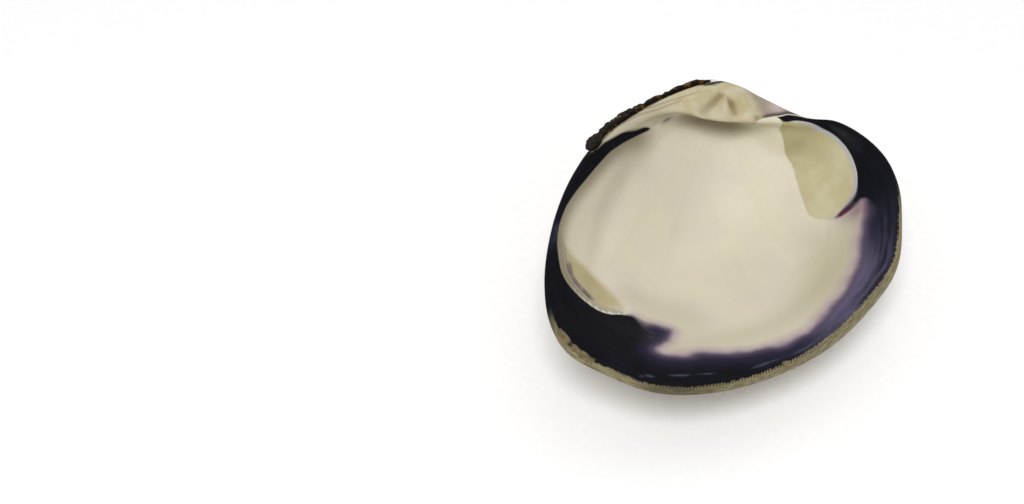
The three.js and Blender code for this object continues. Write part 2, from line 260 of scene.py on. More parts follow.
# How the floor of the hollow is evened out: over a millimetre grid from a corner outside the rim.
GRID_CORNER = (-76, -86)
GRID_CELLS = (112, 92)
EVEN_SPREAD = 5
EVEN_DEPTH = (4, 9)  # from no effect to the full effect

# The ligament: a ragged strip, thickest at its rear end.
LIGAMENT_X = (-44.5, -4)
LIGAMENT_GAP = 0.3  # clearance to the bench
LIGAMENT_TOP = (0.6, -0.1)  # above the rim's plane, rear and front
LIGAMENT_OVERHANG = (1.0, 0.1)  # reach beyond the valve's edge, rear and front
LIGAMENT_KNOT = 0.6  # extra thickness of the torn rear end
LIGAMENT_STEPS = 4
LIGAMENT_FIBRE = 0.26

# The pose at rest, and where it puts the shell's own origin.
REST_TILT = 13  # degrees: the belly edge hangs lower than the hinge
REST_ROLL = 1.5  # degrees: the front end hangs a little lower than the rear
PLACE = (21.0993, 35.0022, 35.7189)

# The camera: where it looks from, and the pixel at which it sees a point of the hollow.
IMAGE = (1024, 504)
CAMERA_AZIMUTH = -21.19
CAMERA_ELEVATION = 45.64
CAMERA_ANGLE = 40
CAMERA_DEPTH = 353.02
SEEN_POINT = (-23, -40, -9)
SEEN_PIXEL = (704.92, 242.39)

# The studio: place, size and power of each lamp in metres and watts, the even light, and the floor.
KEY_LIGHT = ((-0.32, -0.44, 1.0), 0.5, 7)
FILL_LIGHT = ((0.5, 0.5, 0.9), 1.0, 1.5)
SKY_STRENGTH = 0.6
FLOOR_SIZE = 6


# Colours, as they look on a screen.
def srgb(red, green, blue):
    """A colour given from 0 to 255, as the shader takes it."""
    shares = [value / 255 for value in (red, green, blue)]
    return (*[s / 12.92 if s < 0.04045 else ((s + 0.055) / 1.055) ** 2.4 for s in shares], 1)


CREAM = srgb(208, 202, 180)
CREAM_SHADE = srgb(190, 183, 156)
CREAM_PAINTED_SHADE = srgb(122, 114, 92)
CREAM_STRIP = srgb(180, 174, 149)
CREAM_PINK = srgb(204, 196, 180)
CREAM_YELLOW = srgb(206, 199, 172)
POCKET_PAINTED_SHADE = srgb(128, 115, 80)
SCAR_OLIVE = srgb(178, 169, 132)
SCAR_PALE = srgb(187, 179, 147)
SCAR_YELLOW = srgb(172, 157, 112)
SCAR_PAINTED_SHADE = srgb(156, 147, 105)
SCAR_RIM = srgb(168, 165, 164)
SCAR_GREY = srgb(140, 136, 132)
PINK = srgb(116, 92, 104)
LILAC = srgb(166, 148, 152)
PURPLE = srgb(78, 66, 88)
MAROON = srgb(92, 40, 54)
DUSK = srgb(38, 34, 54)
BLACK = srgb(5, 5, 6)
NAVY = srgb(15, 16, 24)
SLATE = srgb(74, 70, 92)
LAVENDER = srgb(94, 86, 110)
HIGHLIGHT_BLUE = srgb(84, 92, 108)
PLATE_TAN = srgb(178, 165, 128)
PLATE_PALE = srgb(188, 180, 153)
OLIVE_BROWN = srgb(116, 98, 58)
NYMPH_GREY = srgb(170, 163, 143)
LIP_TAN = srgb(118, 109, 82)
LIP_OLIVE = srgb(100, 92, 66)
LIP_PAINTED_SHADOW = srgb(84, 78, 66)
LIP_PALE = srgb(136, 128, 99)
CHIP_CREAM = srgb(120, 106, 82)
LUNULE_GREY = srgb(146, 134, 118)
LUNULE_LILAC = srgb(178, 162, 160)
LUNULE_PURPLE = srgb(66, 52, 58)
CHALK = srgb(196, 188, 170)
CHALK_BROWN = srgb(164, 148, 122)
CHALK_GREY = srgb(150, 142, 129)
CHALK_WHITE = srgb(222, 217, 206)
HORN_BLACK = srgb(12, 10, 8)
HORN_BROWN = srgb(34, 25, 15)
HORN_AMBER = srgb(122, 80, 36)
FLOOR_PALE = srgb(244, 244, 244)
FLOOR_WHITE = srgb(250, 250, 250)


def smooth(x, low, high):
    """A soft step from 0 to 1 between two values."""
    share = np.clip((x - low) / (high - low), 0, 1)
    return share * share * (3 - 2 * share)


def mix(a, b, share):
    return a + (b - a) * share


def hump(x, middle, to_rear, to_front):
    """A soft hump, 1 in the middle, with its own spread to either side."""
    return np.exp(-(((x - middle) / np.where(x < middle, to_rear, to_front)) ** 2))


def rough(points, pitch, seed=0):
    """Soft lumps of about the given pitch, from -1 to 1, at each point."""
    offset = Vector((17.3 * seed, 5.1 * seed, 9.7 * seed))
    return np.array([noise.noise(Vector(p) / pitch + offset) for p in points])


def curve_through(points, steps, closed=True):
    """Points along a smooth curve, with so many steps from each given point, or ring, to the next."""
    points = np.asarray(points, float)
    if closed:
        points = np.concatenate([points[-1:], points, points[:2]])
    else:
        points = np.concatenate([2 * points[:1] - points[1:2], points, 2 * points[-1:] - points[-2:-1]])
    gaps = np.linalg.norm(np.diff(points, axis=0), axis=-1, keepdims=True)
    gaps = np.sqrt(np.maximum(gaps, 1e-6))
    count = len(points) - 3
    steps = np.broadcast_to(steps, count)
    curve = []
    for i in range(count):
        before, start, end, after = points[i : i + 4]
        gap_before, gap, gap_after = gaps[i : i + 3]
        leave = gap * ((start - before) / gap_before - (end - before) / (gap_before + gap)) + end - start
        arrive = gap * ((after - end) / gap_after - (after - start) / (gap + gap_after)) + end - start
        for t in np.arange(steps[i]) / steps[i]:
            ease = t * t * (3 - 2 * t)
            curve.append(mix(start, end, ease) + leave * t * (1 - t) ** 2 - arrive * t * t * (1 - t))
    if not closed:
        curve.append(points[-2])
    return np.array(curve)


def rim_columns():
    """Everything that varies along the rim, at places close enough for its fine teeth."""
    outline = curve_through(RIM_POINTS, RIM_SAMPLES)
    outline = np.vstack([outline, outline[:1]])
    run = np.append(0, np.cumsum(np.linalg.norm(np.diff(outline, axis=0), axis=1)))
    hinge_end = run[HINGE_SPANS * RIM_SAMPLES]
    hinge_places = np.linspace(0, hinge_end, round(hinge_end / HINGE_PITCH), endpoint=False)
    rim_places = np.linspace(hinge_end, run[-1], round((run[-1] - hinge_end) / TOOTH_PITCH))
    places = np.concatenate([hinge_places, rim_places])
    count = TOOTH_STEPS * (len(places) - 1)
    places = np.interp(np.arange(count) / TOOTH_STEPS, np.arange(len(places)), places)
    rim = np.stack([np.interp(places, run, outline[:, k]) for k in (0, 1)], axis=-1)
    x, y = rim.T
    inward = np.array(BOWL_POINT) - rim
    reach = np.linalg.norm(inward, axis=1)
    inward /= reach[:, None]
    around = np.arctan2(y - MIDDLE[1], x - MIDDLE[0])
    hinge = smooth(y, *HINGE_Y)
    belly = LIP_MEAN + LIP_SWING * np.cos(around - math.radians(LIP_THICKEST_AT))
    plate = hinge * hump(x, SHELF_WIDEST_X, SHELF_TO_REAR, SHELF_TO_FRONT)
    bench = hinge * smooth(x, *BENCH_X[:2]) * (1 - smooth(x, *BENCH_X[2:]))
    bench_width = mix(*BENCH_WIDTH, smooth(x, BENCH_X[1], BENCH_X[2]))
    lip = mix(mix(np.maximum(belly, LIP_LEAST), LIP_AT_HINGE, hinge), BENCH_DEPTH + BENCH_EDGE, bench)
    beak_inward = np.array([BOWL_POINT[0] - SHELF_WIDEST_X, BOWL_POINT[1]])
    beak_inward = beak_inward / np.linalg.norm(beak_inward)
    aside = np.arccos(np.clip(inward @ beak_inward, -1, 1))
    return SimpleNamespace(
        count=count, rim=rim, inward=inward, reach=reach, around=around, hinge=hinge, plate=plate,
        bench=bench, bench_width=bench_width, lip=lip,
        shelf=mix(SHELF_LEAST, bench_width + BENCH_LEDGE, bench) + SHELF_EXTRA * plate,
        pocket=np.exp(-((aside / math.radians(POCKET_SPREAD)) ** 2)),
        tooth=0.5 + 0.5 * np.cos(2 * np.pi * np.arange(count) / TOOTH_STEPS),
        toothed=mix(TEETH_LEAST, 1, hump(np.degrees(around), *TEETH_STRONGEST)) * (1 - smooth(y, *TEETH_Y)),
    )


def outside_ring(c, size):
    """The rim as it was when the shell was smaller."""
    turn = -math.log(size) / COIL_RATE
    x, y = c.rim.T
    y = y - AXIS_Y
    return np.stack(
        [
            size * x,
            AXIS_Y + size * (y * math.cos(turn) + AXIS_Z * math.sin(turn)),
            AXIS_Z + size * (y * math.sin(turn) - AXIS_Z * math.cos(turn)) - c.lip * size * size,
        ],
        axis=-1,
    )


def ridge_ring(c, size, raised):
    """The same ring, raised along the surface's normal away from the hinge."""
    ring = outside_ring(c, size)
    along = np.roll(ring, -1, axis=0) - np.roll(ring, 1, axis=0)
    normal = np.cross(along, outside_ring(c, size * 0.99) - ring)
    normal /= np.linalg.norm(normal, axis=1, keepdims=True)
    strength = 0.75 + 0.35 * np.sin(3 * c.around + 9 * size) * np.cos(5 * c.around - 4 * size)
    return ring + normal * (raised * strength * (1 - c.hinge))[:, None]


def outside_rings(c):
    """Sizes and rings of the outside, from the beak to just short of the rim."""
    tip = math.exp(-COIL_RATE * math.radians(BEAK_TURN))
    chance = np.random.default_rng(7)
    sizes = [mix(tip, RIDGE_SMALLEST, (i / BEAK_RINGS) ** 1.5) for i in range(BEAK_RINGS)]
    rings = [ridge_ring(c, size, 0) for size in sizes]
    step = (1 - RIDGE_SMALLEST) / RIDGE_COUNT
    heights = [RIDGE_HEIGHT, -GROOVE_DEPTH, RIDGE_HEIGHT]
    for i in range(RIDGE_COUNT):
        crest = RIDGE_SMALLEST + (i + 0.5) * step
        worn = smooth(crest, 0, 0.6)
        for share in RIDGE_RINGS:
            size = crest + share * step
            if size >= LARGEST_RING:
                break
            rise = np.interp(share * step, [0, GROOVE_SHARE, step], heights)
            raised = (rise + chance.uniform(-LINE_HEIGHT, LINE_HEIGHT)) * worn
            sizes.append(size)
            rings.append(ridge_ring(c, size, raised))
    return sizes, rings


def inside_controls(c):
    """The rings that shape the lip, the hinge plate and the hollow, from the edge to the deepest point."""

    def at(inset, z):
        inset = np.broadcast_to(inset, c.count)
        z = np.broadcast_to(z, c.count)
        return np.column_stack([c.rim + c.inward * inset[:, None], z])

    crest = mix(CREST_INSET, c.bench_width + BENCH_STEP, c.bench)
    shoulder = mix(LIP_SHOULDER[0], c.bench_width, c.bench)
    rings = [
        outside_ring(c, 1),
        at(LIP_FACE[0], -mix(LIP_FACE[1] * c.lip, BENCH_DEPTH, c.bench)),
        at(shoulder, -mix(LIP_SHOULDER[1] * c.lip, BENCH_DEPTH, c.bench)),
        at(crest, 0),
    ]
    for i in range(1, PLATE_RINGS + 1):
        share = i / (PLATE_RINGS + 1)
        bulge = PLATE_BULGE * math.sin(math.pi * share) * c.plate
        rings.append(at(mix(crest, c.shelf - SHELF_ROUNDING, share), bulge - SHELF_DROP * share))
    rings.append(at(c.shelf - SHELF_ROUNDING, -SHELF_DROP))
    for level in BOWL_LEVELS:
        depth = BOWL_DEPTH * level
        under = 1 - smooth(depth, *SHELF_EDGE)
        upper = 1 - smooth(level, *POCKET_LEVELS)
        power = mix(BOWL_POWER, BOWL_POWER_AT_BEAK, c.pocket * upper)
        share = (2 / np.pi) * np.arcsin(level ** (1 / power))
        wall = CREST_INSET + (c.reach - CREST_INSET) * share
        over = c.shelf - wall
        rings.append(at(wall + (over + np.hypot(over, SHELF_BLEND)) / 2 * under, -depth))
    return np.array(rings)


def hinge_relief(x, y):
    """Height of the hinge's teeth and depth of its sockets."""
    height = np.zeros_like(x)
    place = np.stack([x, y], axis=-1)
    for start, end, width, rise in HINGE_RIBS:
        start = np.array(start)
        run = np.array(end) - start
        share = np.clip((place - start) @ run / (run @ run), 0, 1)
        away = np.linalg.norm(place - start - share[..., None] * run, axis=-1)
        height += rise * mix(*RIB_HEIGHTS, share) * np.exp(-((away / width / mix(*RIB_WIDTHS, share)) ** 2))
    return height


def rim_teeth(c, inset):
    """Depth of the notches between the fine teeth of the belly edge."""
    start, full, fade, end = TOOTH_INSETS
    across = smooth(inset, start, full) * (1 - smooth(inset, fade, end))
    return TOOTH_DEPTH * across * (1 - c.tooth) * c.toothed


def distance_to(x, y, line):
    """Distance of each place to a line of points."""
    least = np.full(x.shape, np.inf)
    for (ax, ay), (bx, by) in zip(line, line[1:]):
        run_x, run_y = bx - ax, by - ay
        share = ((x - ax) * run_x + (y - ay) * run_y) / (run_x * run_x + run_y * run_y)
        share = np.clip(share, 0, 1)
        least = np.minimum(least, np.hypot(x - ax - share * run_x, y - ay - share * run_y))
    return least


def distance_inside(x, y, outline):
    """Distance of each place to a closed outline, positive inside it."""
    line = curve_through(outline, 4)
    line = np.vstack([line, line[:1]])
    inside = np.zeros(x.shape, bool)
    for (ax, ay), (bx, by) in zip(line, line[1:]):
        if ay != by:
            crossing = ax + (y - ay) * (bx - ax) / (by - ay)
            inside ^= ((ay > y) != (by > y)) & (x < crossing)
    return distance_to(x, y, line) * np.where(inside, 1, -1)


def spot(x, y, centre, radius):
    """A soft round spot, 1 at its centre."""
    return np.exp(-((x - centre[0]) ** 2 + (y - centre[1]) ** 2) / radius**2)


def spots(x, y, centres, radius):
    """Several soft round spots of one size."""
    return np.max([spot(x, y, centre, radius) for centre in centres], axis=0)


def open_line(points):
    """A smooth line through points that does not close."""
    return curve_through(points, 4, closed=False)


def even_bowl(x, y, z):
    """The floor of the hollow, evened out so that no crease runs to its deepest point."""
    deep = z < -EVEN_DEPTH[0]
    column = np.round(x - GRID_CORNER[0]).astype(int)
    row = np.round(y - GRID_CORNER[1]).astype(int)
    total = np.zeros(GRID_CELLS)
    count = np.zeros(GRID_CELLS)
    np.add.at(total, (column[deep], row[deep]), z[deep])
    np.add.at(count, (column[deep], row[deep]), 1)
    known = (count > 0).astype(float)
    mean = total / np.maximum(count, 1)
    offsets = np.arange(-3 * EVEN_SPREAD, 3 * EVEN_SPREAD + 1)
    kernel = np.exp(-0.5 * (offsets / EVEN_SPREAD) ** 2)

    def blur(cells):
        for axis in (0, 1):
            cells = np.apply_along_axis(np.convolve, axis, cells, kernel, "same")
        return cells

    even = blur(mean * known) / np.maximum(blur(known), 1e-9)
    left = np.floor(x - GRID_CORNER[0]).astype(int)
    low = np.floor(y - GRID_CORNER[1]).astype(int)
    right_share = x - GRID_CORNER[0] - left
    up_share = y - GRID_CORNER[1] - low
    lower = mix(even[left, low], even[left + 1, low], right_share)
    upper = mix(even[left, low + 1], even[left + 1, low + 1], right_share)
    return mix(z, mix(lower, upper, up_share), smooth(-z, *EVEN_DEPTH))


def measure_marks(x, y, z):
    """Distances of each place of the inside to the outlines and lines of its markings."""
    under_z, under_y = UNDER_PLATE
    plate = distance_inside(x, y, HINGE_OUTLINE)
    foot = mix(*HINGE_FOOT, smooth(x, *HINGE_FOOT_X))
    cream = distance_inside(x, y, CREAM_OUTLINE)
    under = (z < under_z) & (y > under_y)
    pocket = smooth(x, *POCKET_REAR) * (1 - smooth(x, *POCKET_FRONT))
    rear_edge = distance_to(x, y, open_line(REAR_SCAR_EDGE))
    return SimpleNamespace(
        plate=plate,
        hinge=np.minimum(plate, 1.5 * (z + foot)),
        cream=np.where(under, np.maximum(cream, mix(cream, 2, pocket)), cream),
        nymph=np.min([distance_to(x, y, line) for line in NYMPH_LINES], axis=0),
        front_scar=distance_inside(x, y, FRONT_SCAR),
        rear_scar=distance_inside(x, y, REAR_SCAR),
        rear_edge=rear_edge + 2.5 * (1 - smooth(-y, *REAR_EDGE_DOWN) * smooth(-x, *REAR_EDGE_BACK)),
        pallial=distance_to(x, y, open_line(PALLIAL_LINE)) + 2 * smooth(-x, *PALLIAL_BACK),
        blue=distance_to(x, y, open_line(HIGHLIGHT_LINE)),
    )


def groove(distance, depth, width):
    """Depth of a soft groove at a distance from its line."""
    return depth * np.exp(-((distance / width) ** 2))


def carve(c, rings, insets, marks):
    """Gives the inside its relief, and says where its ribs, notches and chips are."""
    x, y, z = np.moveaxis(rings, -1, 0)
    shallow = smooth(z, *HINGE_RELIEF_Z)
    ribs = hinge_relief(x, y) * shallow * smooth(insets, *HINGE_RELIEF_INSETS)
    notches = rim_teeth(c, insets)
    chip_start, chip_full, chip_fade, chip_end = CHIP_INSETS
    chips = spots(x, y, CHIPS, CHIP_RADIUS)
    chips = chips * smooth(insets, chip_start, chip_full) * (1 - smooth(insets, chip_fade, chip_end))
    flat = rings.reshape(-1, 3)
    crumbs = 0.75 + 0.5 * rough(flat, 1.3, 3).reshape(x.shape)
    swell = rough(flat, 9, 5).reshape(x.shape)
    z += ribs - notches
    z -= groove(marks.nymph, *NYMPH_GROOVE) * shallow
    z -= SCAR_DEPTH * smooth(marks.front_scar, *SCAR_STEP)
    z -= 0.6 * SCAR_DEPTH * smooth(marks.rear_scar, *SCAR_STEP)
    z -= groove(marks.pallial, *PALLIAL_GROOVE)
    z -= CHIP_DEPTH * chips * crumbs
    z += SWELL_HEIGHT * swell * smooth(insets, *SWELL_INSETS)
    return {
        "socket": np.maximum(-ribs, 0),
        "nymph": marks.nymph + 3 * (1 - shallow),
        "notch": notches / TOOTH_DEPTH,
        "chip": chips * crumbs,
    }


def cream_fields(x, y, z, marks):
    """What colours the cream of the hollow, its scars and its edge, with painted shade along the rear edge.
    """
    under_y = UNDER_PLATE[1]
    soft = smooth(-y, *SOFT_DOWN) * (1 - smooth(-x, *SHARP_BACK) * smooth(y, *SHARP_Y))
    shade = sum(strength * (1 - smooth(marks.cream, 0, reach)) for strength, reach in (SHADE_NEAR, SHADE_FAR))
    strip = mix(STRIP_LEAST, 1, smooth(x, *STRIP_X)) * (1 - smooth(marks.cream, *STRIP_REACH))
    (tip_x, tip_z), tip_radius = PURPLE_TIP
    return {
        "dark": -np.maximum(marks.cream, marks.hinge) / mix(*FRINGE, soft),
        "soft": soft,
        "shade": shade * smooth(-x, *SHADE_BACK) * (1 - smooth(-y, *SHADE_DOWN)),
        "strip": strip * soft,
        "front_scar": marks.front_scar,
        "scar_top": smooth(y, *SCAR_TOP_Y),
        "scar_rim": smooth(x, *SCAR_RIM_X),
        "rear_scar": marks.rear_scar,
        "rear_edge": np.where(marks.cream > -0.2, marks.rear_edge, NOT_THERE),
        "crescent": spots(x, y, REAR_CRESCENT, CRESCENT_RADIUS),
        "pallial": marks.pallial,
        "pocket": smooth(marks.plate, *POCKET_INSIDE) * smooth(-z, *POCKET_DEEP) * (y > under_y),
        "tip": spot(x / 2, z, (tip_x / 2, tip_z), tip_radius) * (y > under_y),
        "red": spot(x, y, *RED_SPOT),
        "pink": spot(x, y, *PINK_SPOT),
        "ray": np.arctan2(x - SHELF_WIDEST_X, -y),
    }


def hinge_fields(x, y, insets, marks):
    """What colours the hinge plate and the lunule in front of the beak, and the painted shadow in the crevice
    behind it.
    """
    crevice_x, crevice_reach = CREVICE_X
    crevice_shadow = CREVICE_WIDTH * hump(x, crevice_x, crevice_reach, crevice_reach) * smooth(y, *CREVICE_Y)
    return {
        "hinge": marks.hinge,
        "rear": smooth(-x, *NYMPH_BACK),
        "brown": spots(x, y, BROWN_SPOTS, BROWN_RADIUS),
        "lunule": smooth(x, *LUNULE_X) * smooth(marks.hinge, -0.3, 0.3),
        "lilac": spot(x, y, *LILAC_SPOT),
        "crevice_shadow": smooth(crevice_shadow - insets, -0.4, 0.3),
    }


def rim_fields(c, x, y, marks):
    """What colours the dark band and the tan lip along the rim."""
    around = np.broadcast_to(c.around, x.shape)
    slate = np.exp(-(((around - math.radians(SLATE_AT)) / math.radians(SLATE_SPREAD)) ** 2))
    slate = np.maximum(slate, 0.5 * spot(x, y, *SINUS_SPOT))
    tan = smooth(-around, *np.radians(TAN_FROM)) * (1 - smooth(-around, *np.radians(TAN_TO)))
    worn = hump(np.degrees(around), *WORN_AND_SHADED_AT)
    return {
        "slate": np.maximum(slate, 0.8 * spot(x, y, *REAR_SLATE_SPOT)),
        "blue": marks.blue,
        "tan": tan * mix(1, TAN_WORN, worn),
        # also marks where the outside below the rim gets painted shadow
        "worn": worn,
    }


def inside_rings(c):
    """The rings of the inside, with the relief of its markings, and the fields that colour them."""
    rings = curve_through(inside_controls(c), LIP_STEPS + PLATE_STEPS + BOWL_STEPS, closed=False)
    insets = np.linalg.norm(rings[:, :, :2] - c.rim, axis=-1)
    x, y, z = np.moveaxis(rings, -1, 0)
    z[:] = even_bowl(x, y, z)
    marks = measure_marks(x, y, z)
    fields = {"inset": insets}
    fields.update(carve(c, rings, insets, marks))
    fields.update(cream_fields(x, y, z, marks))
    fields.update(hinge_fields(x, y, insets, marks))
    fields.update(rim_fields(c, x, y, marks))
    return rings, fields


def stitch(rings):
    """Faces between rings of columns, also where a ring has several columns for each of the next."""
    starts = np.append(0, np.cumsum([len(r) for r in rings]))
    faces = []
    for a, b, width, other in zip(starts, starts[1:], map(len, rings), map(len, rings[1:])):
        if width == other:
            i = np.arange(width)
            j = (i + 1) % width
            faces += np.column_stack([a + i, b + i, b + j, a + j]).tolist()
            continue
        few = min(width, other)
        ratio = max(width, other) // few
        coarse, fine = (a, b) if width < other else (b, a)
        for i in range(few):
            j = (i + 1) % few
            for k in range(ratio):
                near = i if k < ratio / 2 else j
                edge = [fine + ratio * i + k, fine + (ratio * i + k + 1) % (ratio * few)]
                face = [coarse + near, *edge]
                faces.append(face if width < other else face[::-1])
            middle = [coarse + i, fine + ratio * i + ratio // 2, coarse + j]
            faces.append(middle if width < other else middle[::-1])
    return faces


def close_end(faces, start, width, point, last):
    """Closes the first or the last ring with a fan of faces round a point."""
    i = np.arange(width)
    j = (i + 1) % width
    tip = np.full(width, point)
    ends = [start + i, tip, start + j] if last else [tip, start + i, start + j]
    faces += np.column_stack(ends).tolist()


def to_frame(points):
    """Places of the shell's own frame, in millimetres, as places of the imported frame, in metres."""
    roll = Matrix.Rotation(math.radians(REST_ROLL), 3, "Y")
    tilt = Matrix.Rotation(math.radians(REST_TILT), 3, "X")
    return (np.asarray(points) @ np.array(roll @ tilt).T + PLACE) * MM


def mesh_object(name, points, faces):
    mesh = bpy.data.meshes.new(name)
    mesh.from_pydata(points.tolist(), [], faces)
    mesh.validate()
    mesh.shade_smooth()
    piece = bpy.data.objects.new(name, mesh)
    bpy.context.collection.objects.link(piece)
    return piece


def give_field(piece, name, values):
    field = piece.data.attributes.new(name, "FLOAT", "POINT")
    field.data.foreach_set("value", np.asarray(values, np.float32))


def give_place(piece, name, values):
    field = piece.data.attributes.new(name, "FLOAT_VECTOR", "POINT")
    field.data.foreach_set("vector", np.asarray(values, np.float32).ravel())


def thinned(grid):
    """The rings of the inside, with few columns where they carry no fine teeth."""
    return list(grid[:FINE_RINGS]) + [ring[COARSE] for ring in grid[FINE_RINGS:]]


def build_valve(c):
    """The valve's skin: the outside's rings, then the inside's, finest where the rim has its teeth."""
    sizes, outside = outside_rings(c)
    outside = [ring[COARSE] for ring in outside]
    inside, fields = inside_rings(c)
    rings = outside + thinned(inside)[:-1]
    beak = outside[0].mean(axis=0)
    deepest = inside[-1].mean(axis=0)
    points = np.concatenate(rings + [[beak], [deepest]])
    first, last = len(rings[0]), len(rings[-1])
    faces = stitch(rings)
    close_end(faces, 0, first, len(points) - 2, last=False)
    close_end(faces, len(points) - 2 - last, last, len(points) - 1, last=True)
    placed = to_frame(points)
    placed[:, 2] = np.maximum(placed[:, 2], 0)
    piece = mesh_object("valve_skin", placed, faces)
    growth = np.outer(np.array(sizes) * GROWTH_REACH - GROWTH_REACH, np.ones(first))
    give_valve_fields(c, piece, growth, fields)
    edge = growth.size + c.count
    outer = np.array([max(p.vertices) < edge for p in piece.data.polygons])
    outer[-first - last : -last] = True
    piece.data.polygons.foreach_set("material_index", outer.astype(np.int32))
    return piece


def give_valve_fields(c, piece, growth, fields):
    """The fields on the whole skin, and the place along and across the rim that streaks follow."""
    for name, grid in fields.items():
        value = growth if name == "inset" else np.full(growth.shape, float(OUTSIDE_FIELDS.get(name, 0)))
        # the worn stretch of the rim, where the outside below it gets painted shadow
        if name == "worn":
            value[:] = grid[0][COARSE]
        values = np.concatenate([value.ravel(), *thinned(grid)[:-1]])
        give_field(piece, name, np.append(values, [values[0], grid[-1].mean()]))
    inset = np.concatenate([growth.ravel(), *thinned(fields["inset"])[:-1]])
    around = np.broadcast_to(c.around, fields["inset"].shape)
    turn = np.concatenate([np.tile(c.around[COARSE], len(growth)), *thinned(around)[:-1]])
    flow = np.stack([inset, FLOW_STRETCH * np.cos(turn), FLOW_STRETCH * np.sin(turn)], axis=-1)
    give_place(piece, "flow", np.vstack([flow, [[-GROWTH_REACH, 0, 0]], [[DEEPEST_INSET, 0, 0]]]))


def build_ligament(c):
    """A torn, fibrous strip along the bench, ragged on its outer side and its top."""
    rear, front = LIGAMENT_X
    x = c.rim[:, 0]
    held = np.flatnonzero((c.hinge > 0.5) & (x > rear) & (x < front))
    held = held[np.argsort(x[held])]
    rim, inward = c.rim[held], c.inward[held]
    bench, width = c.bench[held], c.bench_width[held]
    to_front = (rim[:, 0] - rear) / (front - rear)
    end = np.sqrt(np.clip(np.minimum(rim[:, 0] - rear, front - rim[:, 0]) / 2 + 0.12, 0, 1))
    spine = np.column_stack([rim, np.zeros(len(rim))])
    lump = rough(spine, 4.3, 11)
    tear = rough(spine, 1.1, 12)
    knot = LIGAMENT_KNOT * hump(rim[:, 0], rear + 1.6, 2, 2)

    def uneven(lumps, tears):
        return 1 + lumps * lump + tears * tear + knot

    out = -mix(*LIGAMENT_OVERHANG, to_front) * end * uneven(0.7, 0.4)
    inner = mix(LIGAMENT_GAP, 0.8 * width - LIGAMENT_GAP, bench) * uneven(0.2, 0.15)
    foot = LIGAMENT_GAP - BENCH_DEPTH * bench
    top = foot + (mix(*LIGAMENT_TOP, to_front) - foot) * end * uneven(0.35, 0.3)
    section = [
        (out * 0.6, foot),
        (inner, foot),
        (inner, mix(foot, top, 0.6)),
        (mix(out, inner, 0.7), top),
        (mix(out, inner, 0.25), mix(foot, top, 0.95)),
        (out, mix(foot, top, 0.5)),
    ]
    corners = [np.column_stack([rim + inward * inset[:, None], z]) for inset, z in section]
    loops = curve_through(corners, LIGAMENT_STEPS).swapaxes(0, 1)
    stretched = loops.reshape(-1, 3) * (0.25, 1, 1)
    fibres = rough(stretched, 0.5, 13).reshape(loops.shape[:2])
    middle = loops.mean(axis=1, keepdims=True)
    away = loops - middle
    away /= np.linalg.norm(away, axis=-1, keepdims=True)
    loops = loops + away * (LIGAMENT_FIBRE * fibres * end[:, None])[..., None]
    rings = list(loops)
    points = np.concatenate(rings + [middle[0], middle[-1]])
    faces = stitch(rings)
    around = len(rings[0])
    close_end(faces, 0, around, len(points) - 2, last=False)
    close_end(faces, len(points) - 2 - around, around, len(points) - 1, last=True)
    return mesh_object("ligament_strip", to_frame(points), faces)


